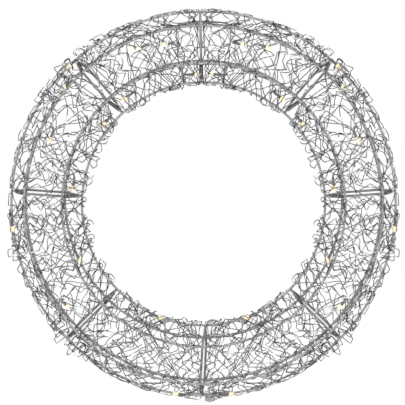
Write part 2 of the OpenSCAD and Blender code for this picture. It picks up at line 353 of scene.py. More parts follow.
def drawn_wire(name, routes, radius, bevel_steps, finish):
    """Round wire along routes of points: a bevelled curve, made a mesh."""
    routes = [out_of_true(route) for route in routes]
    data = bpy.data.curves.new(name, "CURVE")
    data.dimensions = "3D"
    data.bevel_depth = radius * MM
    data.bevel_resolution = bevel_steps
    data.use_fill_caps = True
    for route in routes:
        spline = data.splines.new("POLY")
        spline.points.add(len(route) - 1)
        spline.points.foreach_set("co", np.c_[route * MM, np.ones(len(route))].ravel())
        spline.use_smooth = True
    select_only(placed(name, data))
    bpy.ops.object.convert(target="MESH")
    piece = bpy.context.object
    # Each ring of points is marked with its distance along the wire; the caps of all the routes come first
    lengths = [steps_along(route) for route in routes]
    caps = [length[[-1, 0]] for length in reversed(lengths)]
    marks = np.hstack(caps + lengths)
    marks = np.repeat(marks, len(piece.data.vertices) // len(marks))
    mark = piece.data.attributes.new("wire_mm", "FLOAT", "POINT")
    mark.data.foreach_set("value", marks.astype(np.float32))
    edit_all()
    bpy.ops.mesh.remove_doubles(threshold=MERGE_GAP * MM)
    bpy.ops.mesh.normals_make_consistent(inside=False)
    edit_done()
    bpy.ops.object.shade_smooth()
    dress(piece, finish)
    return piece


# %% [markdown]
# ## Ribs that lean
# The ribs are welded in by hand, and all but the top one stand a little askew across the hoops, so that
# front and back arms show side by side. Each is a copy of its CAD rib, turned by a few degrees where it
# stands and set to the moved hoops. Its bends stay against the hoops, because a turn this small only slides
# them along. The two back hoops are moved copies as well.

# %% Ribs and hoops as welded
# Turn of a rib about its radius and in the plane of the ring, and the radius where its middle stays
RIB_LEANS = {1: (-4.7, 0), 2: (-1.4, 0), 3: (-1.6, 0), 4: (4.0, 2.9), 5: (1.6, 0), 6: (1.4, 0), 7: (4.7, 0)}
RIB_MIDDLE = 160
RIB_CREASE = math.radians(35)


def leaning(points, rib):
    """Points of a square rib, moved to where it leans."""
    lean, tilt = RIB_LEANS.get(rib, (0, 0))
    radius = Vector(on_ring((1, 0), RIB_ANGLES[rib]))
    turn = Matrix.Rotation(math.radians(tilt), 3, "Y") @ Matrix.Rotation(math.radians(lean), 3, radius)
    middle = np.array(radius) * RIB_MIDDLE
    return (np.asarray(points) - middle) @ np.array(turn).T + middle


def as_welded(name, rib=None):
    """A copy of a CAD wire, moved to where it was welded in."""
    piece = placed(name + "_as_welded", nodes[name].data.copy())
    points = [v.co / MM for v in piece.data.vertices]
    moved = out_of_true(points if rib is None else leaning(points, rib)) * MM
    piece.data.vertices.foreach_set("co", moved.ravel())
    select_only(piece)
    edit_all()
    bpy.ops.mesh.remove_doubles(threshold=MERGE_GAP * MM)
    edit_done()
    bpy.ops.object.shade_smooth_by_angle(angle=RIB_CREASE)
    keep(piece, "hoop_wire", name)


for rib, name in enumerate(RIBS):
    as_welded(name, rib)
for name in ("back_inner_hoop", "back_outer_hoop"):
    as_welded(name)

# %% [markdown]
# ## Lap joints, struts and eye
# A hoop is bent from a straight length of wire, and its two ends overlap for a few centimetres and are
# welded side by side. Two such laps show: on the back outer hoop at the top, and on the outermost hoop at
# the bottom. Two short struts brace the inner hoops at the top, and a flattened eye of wire sits on the
# innermost hoop at the bottom. All are plain bent wire, so each is a curve with a round section.

# %% Bent wire details
STRUT_R = 1.1
STRUT_ANGLES = (80.8, 99.2)
# Length by which a strut runs past each hoop's middle
STRUT_PAST = 0.8
EYE_R = 0.85
# Middle of the eye, and half its width and height
EYE_X, EYE_Z = 9.8, -121.3
EYE_HALF_WIDTH, EYE_HALF_HEIGHT = 5.6, 2.9
EYE_POINTS = 41
LAP_POINTS = 25
# Share of its lift by which a lap's ends are pressed towards the hoop
LAP_PRESS = 0.2


def lap(corner, way, lift, low, high):
    """A stretch of wire beside a hoop, welded at its ends and sprung a little off it between them."""
    angles = np.linspace(low, high, LAP_POINTS)
    rise = np.sqrt(np.clip(np.sin((angles - low) / (high - low) * math.pi), 0, 1))
    beside = 2 * HOOP_R - WELD_SINK
    return np.array([on_ring(CORNERS[corner] + unit(way) * (beside + lift * (r - LAP_PRESS)), a)
                     for a, r in zip(angles, rise)])


def strut(angle):
    """A short bar inside the front inner and innermost hoops."""
    inside = -side_out[FRONT_INNER] * (HOOP_R + STRUT_R - WELD_SINK)
    past = side_dir[FRONT_INNER] * STRUT_PAST
    ends = CORNERS[FRONT_INNER] - past, CORNERS[INNERMOST] + past
    return np.array([on_ring(ends[0] * (1 - t) + ends[1] * t + inside, angle) for t in (0, 0.5, 1)])


lap_routes = [lap(BACK_OUTER, (1, 0.2), 1.2, 82, 98), lap(OUTERMOST, (-0.7, 0.7), 0.2, 265, 278)]
strut_routes = [strut(angle) for angle in STRUT_ANGLES]
turn = np.linspace(0, 2 * math.pi, EYE_POINTS)
eye_route = np.stack([EYE_X + EYE_HALF_WIDTH * np.cos(turn),
                      np.full(EYE_POINTS, -(HOOP_R + EYE_R - WELD_SINK)),
                      EYE_Z + EYE_HALF_HEIGHT * np.sin(turn)], axis=1)
laps = drawn_wire("lap_joints", lap_routes, HOOP_R, 3, rib_finish)
struts = drawn_wire("top_struts", strut_routes, STRUT_R, 3, hoop_finish)
eye = drawn_wire("bottom_eye", [eye_route], EYE_R, 2, rib_finish)
for piece in (laps, struts, eye):
    keep(piece, "hoop_wire")

# %% [markdown]
# ## Where the lamps and the cable lie
# The lamps lie along the ring, just inside the wound wire or in front of the outermost and innermost hoops.
# The right half is listed, and the left half mirrors it, as in the part's source. Between two lamps the
# cable dips to a back hoop, or to the middle of the cage where it passes a rib or goes from the outermost
# hoop to the innermost.

# %% Lamp places
BULB_D, BULB_L, BULB_RIM = 4, 6, 0.25
NECK_D, NECK_L = 2.8, 8
LAMP_GAP = 0.15
LAMP_BACK = BULB_L / 2 + NECK_L
# Angle, side of the section, share of that side or the hoop that it lies on, and the bulb's heading
RIGHT_LAMPS = [
    (-81.5, 5, "outer", 1), (-69.5, 1, "inner", -1), (-51.5, 5, 0.8, -1), (-37, 0, 0.24, -1),
    (-24.5, 1, 0.38, -1), (-7.5, 5, "outer", -1), (7, 1, 0.6, -1), (23, 0, 0.33, -1),
    (38.5, 1, 0.8, -1), (40, 5, 0.7, -1), (45.5, 5, "outer", -1), (53, 1, 0.59, -1),
    (67.5, 0, 0.26, -1), (76, 0, 0.38, -1), (87, 1, 0.66, 1),
]
LAMPS = RIGHT_LAMPS + [(180 - a, side, place, -way) for a, side, place, way in reversed(RIGHT_LAMPS)]


def lamp_section(lamp):
    """A lamp's place in the section."""
    _, side, place, _ = lamp
    beside = HOOP_R + BULB_D / 2 + BULB_RIM + 2 * LAMP_GAP
    if place in ("outer", "inner"):
        return CORNERS[OUTERMOST if place == "outer" else INNERMOST] + (0, -beside)
    inside = -(BULB_D / 2 + BULB_RIM + LAMP_GAP)
    return CORNERS[side] + side_dir[side] * side_len[side] * place + side_out[side] * inside


def lamp_axis(lamp):
    """Base of the bulb and the direction that it points in."""
    angle, way = lamp[0], lamp[3]
    heading = along_ring(angle) * way
    return on_ring(lamp_section(lamp), angle) - heading * BULB_L / 2, heading


print("lamps:", len(LAMPS))


# %% Cable route
CABLE_GAP = 0.2
CAGE_MIDDLE = (CORNERS[OUTERMOST] + CORNERS[INNERMOST]) / 2
SLEEVE_D, SLEEVE_L, SLEEVE_X = 5, 11, 1.5
SLEEVE_Z = -(CORNERS[OUTERMOST][0] + HOOP_R + SLEEVE_D / 2 + CABLE_GAP)
# How far a strand of cable lies off the neck's axis, and how far behind the neck its handle lies
STRAND_STEP = (NECK_D - 2 * CABLE_R - LAMP_GAP) / 2
STRAND_BOW = LAMP_BACK
SPAN_STEPS = 16
# Other handles: a third of the way between the lead's ends, and a fifth at a dip
LEAD_PART, DIP_PART = 3, 5
rear_angles = [lamp[0] - lamp[3] * math.degrees(LAMP_BACK / lamp_section(lamp)[0]) for lamp in LAMPS]


def touches(i, place):
    """Whether one of a span's two lamps lies on a hoop."""
    return place in (LAMPS[i][2], LAMPS[i + 1][2])


def ribs_passed(i):
    """Angles of the ribs that a span passes."""
    return [t for r in RIB_ANGLES for t in (r - 360, r) if rear_angles[i] < t < rear_angles[i + 1]]


def back_corner(i):
    """The back hoop that a span of cable dips to."""
    if i < 0:
        return BACK_OUTER
    if touches(i, "outer"):
        return BACK_INNER
    if touches(i, "inner"):
        return BACK_OUTER
    return BACK_INNER + BACK_OUTER - back_corner(i - 1)


def dip_point(i):
    """The point of the section where a span of cable is held between its two lamps."""
    if i < 0:
        return CORNERS[OUTERMOST] + (SLEEVE_D, 0)
    if i > len(LAMPS) - 2:
        return CORNERS[BACK_OUTER]
    if ribs_passed(i) or (touches(i, "outer") and touches(i, "inner")):
        return CAGE_MIDDLE
    c = back_corner(i)
    return CORNERS[c] - corner_out[c] * (HOOP_R + CABLE_R + CABLE_GAP)


def dip_angle(i):
    passed = ribs_passed(i)
    return passed[0] if passed else (rear_angles[i] + rear_angles[i + 1]) / 2


def strand_end(i, way):
    """Where a strand of cable leaves the back of a lamp's neck, and a point that it heads for."""
    angle, side, place, heading = LAMPS[i]
    lean = way if (dip_point(i) - dip_point(i - 1)) @ side_dir[side] > 0 else -way
    ahead = along_ring(angle) * heading
    end = on_ring(lamp_section(LAMPS[i]) + side_dir[side] * STRAND_STEP * lean, angle) - ahead * LAMP_BACK
    bow = {"outer": -STRAND_BOW, "inner": STRAND_BOW}.get(place, 0)
    return end, end - ahead * STRAND_BOW + on_ring((bow, 0), angle)


def curve_points(p, q, r, s):
    """Points of a curve from p to s that sets out towards q and comes in from r."""
    t = np.linspace(0, 1, SPAN_STEPS + 1)[:, None]
    return p * (1 - t) ** 3 + q * 3 * t * (1 - t) ** 2 + r * 3 * t * t * (1 - t) + s * t ** 3


lead_start = np.array([SLEEVE_X + SLEEVE_L, 0, SLEEVE_Z])
first_end, _ = strand_end(0, -1)
reach = np.linalg.norm(first_end - lead_start) / LEAD_PART
first_back = along_ring(LAMPS[0][0]) * LAMPS[0][3] * reach
cable_routes = [curve_points(lead_start, lead_start + (reach, 0, 0), first_end - first_back, first_end)]
for i in range(len(LAMPS) - 1):
    (p, q), (s, r) = strand_end(i, 1), strand_end(i + 1, -1)
    middle, slope = on_ring(dip_point(i), dip_angle(i)), (s - p) / DIP_PART
    first = curve_points(p, q, middle - slope, middle)
    last = curve_points(middle, middle + slope, r, s)
    cable_routes.append(np.vstack([first, last[1:]]))
cable_mm = sum(steps_along(route)[-1] for route in cable_routes)
print("cable spans: %d, %.2f m in all" % (len(cable_routes), cable_mm * MM))

# %% [markdown]
# ## The crinkled wire
# On the real ring a thin wire is wound round the cage bay by bay, forwards and back, with a bend every
# centimetre or so, so that it looks like a nest. Simulating that would be slow, and a noise displacement
# would give waves and no bends. So each bay's wire is a chain of bends in code: it goes round and round the
# section, jumps sideways at random, and stands off the hoops in small loops. Corners are rounded, and any
# point that comes too near a hoop, rib, lamp or cable is moved off it.

# %% How the wire wanders
WIND_GAP = 0.25
wind_corners = CORNERS + corner_out * ((HOOP_R + CRINKLE_R + WIND_GAP) / corner_cos)[:, None]
# Turns of wire in each bay of the right half, from the bottom to the top, wound in three passes
BAY_TURNS = {4: 22, 5: 21, 6: 19, 7: 19}
PASSES = 3
# How far the wire strays sideways at a hoop and at a bend between hoops, and how many places it picks from
STRAY, SIDE_STRAY, CHOICES = 22, 11, 5
# How many bends it may take to cross each side, and the share of their spacing by which they wander
SIDE_BENDS = [(3, 4, 4, 5), (0, 1, 1, 1), (0, 1, 1, 1), (3, 4, 4, 5), (2, 3, 3, 3), (2, 3, 3, 3)]
BEND_WANDER = 0.6
# Share of a side, at each end, that these bends keep out of
SIDE_EDGE = 0.04
# Most bends sag into the cage: greatest sag, the power that makes deep ones rare, and the chance
SAG, SAG_CURVE, SAG_CHANCE = 8.5, 1.6, 0.8
# The others stand out of it, by this much at most
STAND_OUT = 1.5
# Angle by which it goes past a rib or, below zero, stops short of it
PAST_RIB = -0.4
# Chance that the wire runs along each hoop, least and most length of the run, and most height off the hoop
OUTER_RUN, INNER_RUN = (0.5, 4, 16, 2.2), (0.3, 4, 12, 2.5)
RUNS = [OUTER_RUN, INNER_RUN, (0.65, 4, 12, 7), INNER_RUN, OUTER_RUN, (0.85, 4, 16, 2.6)]
# Share of that height that the wire may keep where it comes to a hoop and leaves it
LOW = 0.5
# Shares of a run at which the wire has risen off the hoop and starts to fall, and of the height it has then
RISE, FALL, FALL_HEIGHT = (0.1, 0.35), (0.6, 0.9), (0.6, 1)
# Between bends, the wire has a slight kink every few millimetres
KINK_STEP, KINK, KINK_WANDER = 7.5, 1.3, 0.3
print("turns of wire:", 2 * sum(BAY_TURNS.values()))

# %% Thin and thick places
FACES, INNER_SIDES, OUTER_SIDES = (0, 3), (1, 2), (4, 5)
FRONT_SIDES = (0, 1, 5)
# Open places on each side, which most bends keep out of: angle, share of the side, and radius
OPEN_PLACES = {
    FACES: [(31, 0.55, 13), (66, 0.6, 8), (45, 0.5, 8), (52, 0.5, 6), (75, 0.6, 7), (-36, 0.3, 7),
            (85, 0.4, 6)],
    INNER_SIDES: [(-8, 0.5, 10), (-22, 0.5, 8), (46, 0.5, 9), (56, 0.5, 7), (76, 0.5, 8), (86, 0.5, 8)],
    OUTER_SIDES: [(-74, 0.5, 10), (2, 0.5, 7), (14, 0.5, 11), (84, 0.5, 13)],
}
# Stretches of a hoop that the wire seldom crosses: angle, and half width
OPEN_HOOPS = {OUTERMOST: [(84, 4), (3, 3)], INNERMOST: [(47, 3), (85, 3)]}
# Where the wire stands further off a hoop, or closer to it: angle, half width, and extra height
BULGES = {
    OUTERMOST: [(48, 9, 9), (-45, 6, 9), (-16, 5, 6), (84, 13, -1.6)],
    INNERMOST: [(87, 6, -5), (52, 10, -3), (-55, 4, -6), (27, 10, 2), (-15, 5, 2), (3, 8, -5)],
}


def open_on_hoop(corner):
    """Open stretches of one hoop: the angle, and the reach."""
    return [((angle,), reach) for angle, reach in OPEN_HOOPS.get(corner, [])]


def open_on_side(side):
    """Open places on one side: the arc and the distance along the side, and the reach."""
    radius, length = CORNERS[(side + 1) % SIDES][0], side_len[side]
    places = next(places for sides, places in OPEN_PLACES.items() if side in sides)
    if side not in FRONT_SIDES:
        # The back sides run the other way
        places = [(angle, 1 - share, reach) for angle, share, reach in places]
    return [((math.radians(angle) * radius, share * length), reach) for angle, share, reach in places]


def bulge(corner, there):
    """Extra height of the wire over a hoop at an angle."""
    return sum(extra for angle, reach, extra in BULGES.get(corner, []) if abs(there - angle) < reach)


print("open places:", sum(len(places) for places in OPEN_PLACES.values()))

# %% Picking the place of a bend
# The least length to divide by
TINY = 1e-6


def within(value, low, high):
    return min(max(value, low), high)


def turned_back(value, low, high):
    """A value that runs past a limit, turned back inside it."""
    return 2 * low - value if value < low else 2 * high - value if value > high else value


def roomiest(options, used, opens):
    """Of a few places, the one farthest from those used before; in an open place, moved towards its rim."""
    def room(place):
        for middle, reach in opens:
            if math.dist(place, middle) < reach:
                return math.dist(place, middle) - reach
        return min((math.dist(place, other) for other in used), default=0)

    best = max(options, key=room)
    for middle, reach in opens:
        off = max(math.dist(best, middle), TINY)
        if off < reach:
            best = tuple(m + (v - m) * (off + reach) / 2 / off for v, m in zip(best, middle))
    used.append(best)
    return best


# %% The bends of a bay
def hoop_marks(corner, there, low, high, rng):
    """How the wire goes over a hoop: shifts along the hoop, each with a height off it."""
    chance, short, long, top = RUNS[corner]
    extra = bulge(corner, there)
    top, curve = top + extra, 1 if extra > 0 else 2
    marks = [(0, LOW * rng.random() ** 2 * top)]
    if rng.random() < chance:
        run = rng.choice((-1, 1)) * rng.uniform(short, long)
        if not low < there + math.degrees(run / CORNERS[corner][0]) < high:
            run = -run
        height = rng.random() ** curve
        marks.append((run * rng.uniform(*RISE), height * top))
        marks.append((run * rng.uniform(*FALL), height * rng.uniform(*FALL_HEIGHT) * top))
        marks.append((run, LOW * rng.random() ** 2 * top))
    return marks


def bay_bends(bay, rng):
    """The bends of one bay's wire: how far along the bay, and the point of the section."""
    low, high = RIB_ANGLES[bay] - 360 - PAST_RIB, RIB_ANGLES[bay + 1] - 360 + PAST_RIB
    at_corner, on_side = [[] for _ in range(SIDES)], [[] for _ in range(SIDES)]
    bends, here = [], low
    crossings = BAY_TURNS[bay] * SIDES

    def stray(angle, radius, reach):
        return turned_back(angle + math.degrees(rng.uniform(-reach, reach) / radius), low, high)

    def bend(angle, p):
        bends.append(((angle - low - PAST_RIB) / (high - low - 2 * PAST_RIB), p))

    for k in range(crossings + 1):
        side, corner = k % SIDES, (k + 1) % SIDES
        swing = (k + 1) / (crossings + 1) * PASSES % 2
        middle = low + (high - low) * min(swing, 2 - swing)
        radius = CORNERS[corner][0]
        options = [(stray(middle, radius, STRAY),) for _ in range(CHOICES)]
        there, = roomiest(options, at_corner[corner], open_on_hoop(corner))
        there = within(there, low, high)
        count = rng.choice(SIDE_BENDS[side])
        for j in range(count):
            options = []
            for _ in range(CHOICES):
                t = (j + 1 + rng.uniform(-BEND_WANDER, BEND_WANDER)) / (count + 1)
                angle = stray(here + (there - here) * t, radius, SIDE_STRAY)
                options.append((math.radians(angle) * radius, t * side_len[side]))
            arc, run = roomiest(options, on_side[side], open_on_side(side))
            arc = within(arc, math.radians(low) * radius, math.radians(high) * radius)
            t = within(run, SIDE_EDGE * side_len[side], (1 - SIDE_EDGE) * side_len[side]) / side_len[side]
            sags = rng.random() < SAG_CHANCE
            height = -SAG * rng.random() ** SAG_CURVE if sags else rng.uniform(0, STAND_OUT)
            bend(math.degrees(arc / radius),
                 wind_corners[side] * (1 - t) + wind_corners[corner] * t + side_out[side] * height)
        for shift, height in hoop_marks(corner, there, low, high, rng):
            p = wind_corners[corner] + corner_out[corner] * height
            here = there + math.degrees(shift / p[0])
            bend(here, p)
    return bends


def kinked(bends, span, rng):
    """The bends with slight kinks put between them; span is the bay's width."""
    out = bends[:1]
    for (u0, p0), (u1, p1) in zip(bends[:-1], bends[1:]):
        count = int(math.hypot(math.radians((u1 - u0) * span) * p0[0], *(p1 - p0)) / KINK_STEP)
        for j in range(count):
            t = (j + 1 + rng.uniform(-KINK_WANDER, KINK_WANDER)) / (count + 1)
            p = p0 + (p1 - p0) * t + [rng.uniform(-KINK, KINK) for _ in range(2)]
            out.append((u0 + (u1 - u0) * t + math.degrees(rng.uniform(-KINK, KINK) / p[0]) / span, p))
        out.append((u1, p1))
    return out


# %% Rounding and clearing a route
# Most length that the rounding of a bend takes off each leg, and the greatest share of a leg
BEND_CUT = 0.9
BEND_SHARE = 0.45
ROUTE_STEP = 1.3


def rounded(points):
    """A route with its corners rounded, and points at even steps between them."""
    points = np.asarray(points)
    out = [points[0]]
    for before, here, after in zip(points[:-2], points[1:-1], points[2:]):
        a, b = [here + unit(leg) * min(BEND_CUT, BEND_SHARE * np.linalg.norm(leg))
                for leg in (before - here, after - here)]
        for t in (0, 0.33, 0.67, 1):
            out.append(a * (1 - t) ** 2 + here * 2 * t * (1 - t) + b * t * t)
    out.append(points[-1])
    fine = [out[0]]
    for a, b in zip(out[:-1], out[1:]):
        count = max(1, int(np.linalg.norm(b - a) / ROUTE_STEP))
        fine.extend(a + (b - a) * (j + 1) / count for j in range(count))
    return np.array(fine)


def push_off(points, centres, gap):
    """Moves points that are nearer to their centres than a gap out to it."""
    away = points - centres
    far = np.maximum(np.linalg.norm(away, axis=1), TINY)
    near = far < gap
    points[near] += away[near] / far[near, None] * (gap - far[near])[:, None]


def off_hoops(points, gap):
    """Moves points out of the hoops."""
    radius = np.hypot(points[:, 0], points[:, 2])
    section = np.stack([radius, points[:, 1]], axis=1)
    for corner in CORNERS:
        push_off(section, corner, gap)
    scale = section[:, 0] / radius
    return np.stack([points[:, 0] * scale, section[:, 1], points[:, 2] * scale], axis=1)


def off_lines(points, starts, ends, gaps):
    """Moves points away from straight stretches of rib, lamp or cable."""
    middle = (starts + ends) / 2
    reach = np.linalg.norm(ends - starts, axis=1) / 2 + gaps
    low, high = points.min(axis=0), points.max(axis=0)
    close = ((middle + reach[:, None] > low) & (middle - reach[:, None] < high)).all(axis=1)
    for a, b, gap in zip(starts[close], ends[close], gaps[close]):
        d = b - a
        t = np.clip((points - a) @ d / (d @ d), 0, 1)
        push_off(points, a + t[:, None] * d, gap)
    return points


# %% What the wire keeps clear of
RIB_GAP = 0.15
WIRE_GAP = 0.1
# How far each round of easing moves a point towards the middle of its neighbours
EASES = (0.08, 0.06, 0.0)


def rib_line():
    """A rib's centre line in the section, with its bends."""
    reach = HOOP_R + RIB_R - WELD_SINK
    cut = RIB_BEND_R * (1 / corner_cos - 1)
    sharp = CORNERS - corner_out * (reach - cut)[:, None]
    line = []
    for i in range(SIDES):
        back, ahead = unit(sharp[i - 1] - sharp[i]), unit(sharp[(i + 1) % SIDES] - sharp[i])
        length = RIB_BEND_R * math.sqrt(1 / corner_cos[i] ** 2 - 1)
        a, b = sharp[i] + back * length, sharp[i] + ahead * length
        line.extend([a, a * 0.25 + sharp[i] * 0.5 + b * 0.25, b])
    return np.array(line + line[:1])


def stretches(route, radius, gap=WIRE_GAP):
    """The stretches of a route, and how near the middle of a crinkled wire may come to them."""
    route = np.asarray(route)
    return route[:-1], route[1:], np.full(len(route) - 1, radius + CRINKLE_R + gap)


def stacked(parts):
    return [np.concatenate(column) for column in zip(*parts)]


rib_section = rib_line()
rib_parts = [stretches(leaning([on_ring(p, RIB_ANGLES[rib]) for p in rib_section], rib), RIB_R, RIB_GAP)
             for rib in range(len(RIBS))]
lamp_parts = []
for lamp in LAMPS:
    base, way = lamp_axis(lamp)
    lamp_parts.append(stretches([base, base + way * (BULB_L - BULB_D / 2)], BULB_D / 2 + BULB_RIM))
    lamp_parts.append(stretches([base - way * NECK_L, base], NECK_D / 2))
bent = ((lap_routes, HOOP_R), (strut_routes, STRUT_R), ([eye_route], EYE_R), (cable_routes, CABLE_R))
bent_parts = [stretches(route, radius) for routes, radius in bent for route in routes]
sleeve_part = stretches([(SLEEVE_X, 0, SLEEVE_Z), lead_start], SLEEVE_D / 2)
all_lines, lamp_lines = stacked(rib_parts + lamp_parts + bent_parts + [sleeve_part]), stacked(lamp_parts)


def settled(route):
    """A route after a few rounds of easing and clearing."""
    for ease in EASES:
        route[1:-1] += ease * ((route[:-2] + route[2:]) / 2 - route[1:-1])
        route = off_lines(route, *all_lines)
        route = off_hoops(route, HOOP_R + CRINKLE_R + WIRE_GAP)
    return route


print("stretches to keep clear of:", len(all_lines[0]))

# %% [markdown]
# ## Winding the bays
# Each bay's wire starts with tight turns along the outer slant of one rib and ends with tight turns along
# the inner slant of the next, as wire is tied off by hand. Where the outermost hoop carries clumps of wire,
# short lengths are tied in as well. Each bay of the right half has its mirror image on the left, which is
# how the photographed ring looks.

# %% Ties on a rib
TIE_TURNS = 8
TIE_STEPS = 10
TIE_GAP = 0.04


def tie(side, first, last, rib, way):
    """Tight turns of wire along one side of a rib, between two shares of its length."""
    angle = RIB_ANGLES[rib]
    start, end = rib_section[3 * side + 2], rib_section[3 * ((side + 1) % SIDES)]
    across, out = along_ring(angle), on_ring(side_out[side], angle)
    points = []
    for step in range(TIE_TURNS * TIE_STEPS + 1):
        turn = 2 * math.pi * step / TIE_STEPS
        share = first + (last - first) * step / (TIE_TURNS * TIE_STEPS)
        round_rib = (across * math.cos(turn) * way + out * math.sin(turn)) * (RIB_R + CRINKLE_R + TIE_GAP)
        points.append(on_ring(start + (end - start) * share, angle) + round_rib)
    return list(off_lines(leaning(points, rib % len(RIBS)), *lamp_lines))


def between(first_tie, chain, last_tie):
    """A wire from one tie to another through a chain of bends."""
    body = settled(rounded(first_tie[-1:] + chain + last_tie[:1]))
    return np.vstack([first_tie[:-1], body, last_tie[1:]])


def wound(bends, first, last, way, first_share, last_share):
    """A bay's long wire, from a tie on its first rib to a tie on its last; way is -1 on the left half."""
    start, end = RIB_ANGLES[first], RIB_ANGLES[last]
    first_tie = tie(OUTERMOST, *first_share, first, way)
    last_tie = tie(FRONT_INNER, *last_share, last, -way)
    chain = [on_ring(p, start + (end - start) * u) for u, p in bends[1:-1]]
    return between(first_tie, chain, last_tie)


# %% Short lengths tied in
# In each bay: lowest and highest angle on the outermost hoop, and number of loops
TIED_IN = {4: [(-54, -45.5, 3)], 5: [(-43.5, -37, 2), (-18, -11, 2)],
           6: [(31, 47.5, 6)], 7: [(49.5, 62, 5)]}
# Most height of a loop, least and most half width, and the places of its bends in half widths
LOOP_HEIGHT, LOOP_REACH, LOOP_PLACES = 5, (2.5, 6), (-1.4, -1, 1, 1.6)
# Where a loop's middle lies in its share of the stretch, and how far its feet go towards the next hoop
LOOP_MIDDLE, LOOP_FOOT = (0.2, 0.8), (0.2, 0.95)
HOOP_TIE_TURNS, HOOP_TIE_POINTS, HOOP_TIE_GAP = 2, 21, 0.05
# Degrees along the hoop for each radian round it
HOOP_TIE_PITCH = 0.05


def hoop_tie(angle, way):
    """Two turns of wire round the outermost hoop."""
    reach = HOOP_R + CRINKLE_R + HOOP_TIE_GAP
    turns = np.linspace(0, 2 * math.pi * HOOP_TIE_TURNS, HOOP_TIE_POINTS)
    return [on_ring(CORNERS[OUTERMOST] + np.array([math.cos(t), math.sin(t)]) * reach,
                    angle + way * HOOP_TIE_PITCH * t) for t in turns]


def loop_bends(low, high, count, rng):
    """Bends of a short wire in loops over the outermost hoop: the angle, and the point of the section."""
    bends = []
    for k in range(count):
        middle = low + (high - low) * (k + rng.uniform(*LOOP_MIDDLE)) / count
        height = LOOP_HEIGHT * rng.random()
        heights = 0, height, height * rng.uniform(*FALL_HEIGHT), 0
        for place, outside in zip(LOOP_PLACES, heights):
            aside = place * math.degrees(rng.uniform(*LOOP_REACH) / CORNERS[OUTERMOST][0])
            p = wind_corners[OUTERMOST] + corner_out[OUTERMOST] * outside
            if not outside:
                other = wind_corners[rng.choice((FRONT_OUTER, BACK_OUTER))]
                p = p + (other - p) * rng.uniform(*LOOP_FOOT)
            bends.append((turned_back(middle + aside, low, high), p))
    return bends


def tied_in(low, high, count, way):
    """A short wire in loops, between two ties on the outermost hoop."""
    loops = loop_bends(low, high, count, random.Random(count))
    if way < 0:
        loops = [(180 - angle, p) for angle, p in loops]
    chain = [on_ring(p, angle) for angle, p in loops]
    return between(hoop_tie(loops[0][0], way), chain, hoop_tie(loops[-1][0], -way))


# %% Finish of the crinkled wire
# Length over which the painted glints come and go
PAINTED_GLINT_LENGTH = 11
# Bright drawn wire: the die leaves a hard shine on it. The glints that come and go along the wire as it
# bends and twists are painted into its colour as painted highlights and painted dark reflections, by a
# noise along the wire
crinkle_finish, tree, shader = new_material("bright_drawn_wire_painted_glints")
run = add_node(tree, "Attribute", attribute_name="wire_mm").outputs["Fac"]
pace = maths(tree, "MULTIPLY", run, 1 / PAINTED_GLINT_LENGTH)
painted_glint = add_node(tree, "TexNoise", {"W": pace, "Scale": 1.0, "Detail": 2.0},
                 noise_dimensions="1D").outputs["Fac"]
# Painted highlights and reflections: the colour runs from dark grey to near white along the wire
painted_glint_greys = tones(tree, painted_glint, (0.34, "#2a2b2c"), (0.5, "#656667"), (0.7, "#cacbcd"))
gloss = spread(tree, painted_glint, 0.3, 0.7, 0.5, 0.28)
feed(tree, shader, {"Base Color": painted_glint_greys, "Roughness": gloss, "Metallic": 1.0})

# %% Wind
# Seeds of the bays' wandering, picked for likeness to the photographed bays
BAY_SEEDS = {4: 51, 5: 80, 6: 84, 7: 44}
BOTTOM_BAY, TOP_BAY = min(BAY_SEEDS), max(BAY_SEEDS)
# Shares of a slant that a tie covers. The two ribs that end a half carry a tie from each half.
WHOLE_SLANT, RIGHT_SHARE, LEFT_SHARE = (0.1, 0.9), (0.08, 0.48), (0.52, 0.92)
wire_length = 0
for right, seed in BAY_SEEDS.items():
    left = len(RIBS) - 1 - right
    rng = random.Random(seed)
    bends = kinked(bay_bends(right, rng), RIB_ANGLES[right + 1] - RIB_ANGLES[right], rng)
    for bay, way, half in ((right, 1, RIGHT_SHARE), (left, -1, LEFT_SHARE)):
        first, last = (bay, bay + 1) if way > 0 else (bay + 1, bay)
        first_share = half if right == BOTTOM_BAY else WHOLE_SLANT
        last_share = half if right == TOP_BAY else WHOLE_SLANT
        routes = [wound(bends, first, last, way, first_share, last_share)]
        routes += [tied_in(low, high, count, way) for low, high, count in TIED_IN[right]]
        name = "crinkle_wire_%d" % (bay + 1)
        wire = drawn_wire(name + "_wound", routes, CRINKLE_R, 1, crinkle_finish)
        keep(wire, "crinkle_wire", name)
        wire_length += sum(steps_along(route)[-1] for route in routes)
print("crinkled wire: %.1f m" % (wire_length * MM))

# %% [markdown]
# ## Lamps
# Each lamp is a small clear epoxy bulb with a rim, lit from inside by a yellow phosphor chip, on a dark
# neck of heat-shrunk sleeve. All three are turned shapes, so each is drawn out of one circle: extruded ring
# by ring and scaled. One lamp is made, and copies of it are turned into place.


# %% Turned shapes
def turned(name, profile, sides):
    """A closed turned shape along +Z from (radius, height) pairs."""
    r, z = profile[0]
    bpy.ops.mesh.primitive_circle_add(vertices=sides, radius=r * MM, fill_type="NGON",
                                      location=(0, 0, z * MM))
    piece = bpy.context.object
    piece.name = name
    bpy.ops.object.transform_apply(location=True, rotation=True, scale=True)
    edit_all()
    for (r0, z0), (r1, z1) in zip(profile[:-1], profile[1:]):
        bpy.ops.mesh.extrude_region_move(TRANSFORM_OT_translate={"value": (0, 0, (z1 - z0) * MM)})
        bpy.ops.transform.resize(value=(r1 / r0, r1 / r0, 1), center_override=(0, 0, z1 * MM))
    bpy.ops.mesh.select_all(action="SELECT")
    bpy.ops.mesh.normals_make_consistent(inside=False)
    edit_done()
    return piece


# %% Copies of one model
# Turn of each lamp about its own axis, after the one before it, in radians
LAMP_SPIN = 2.4


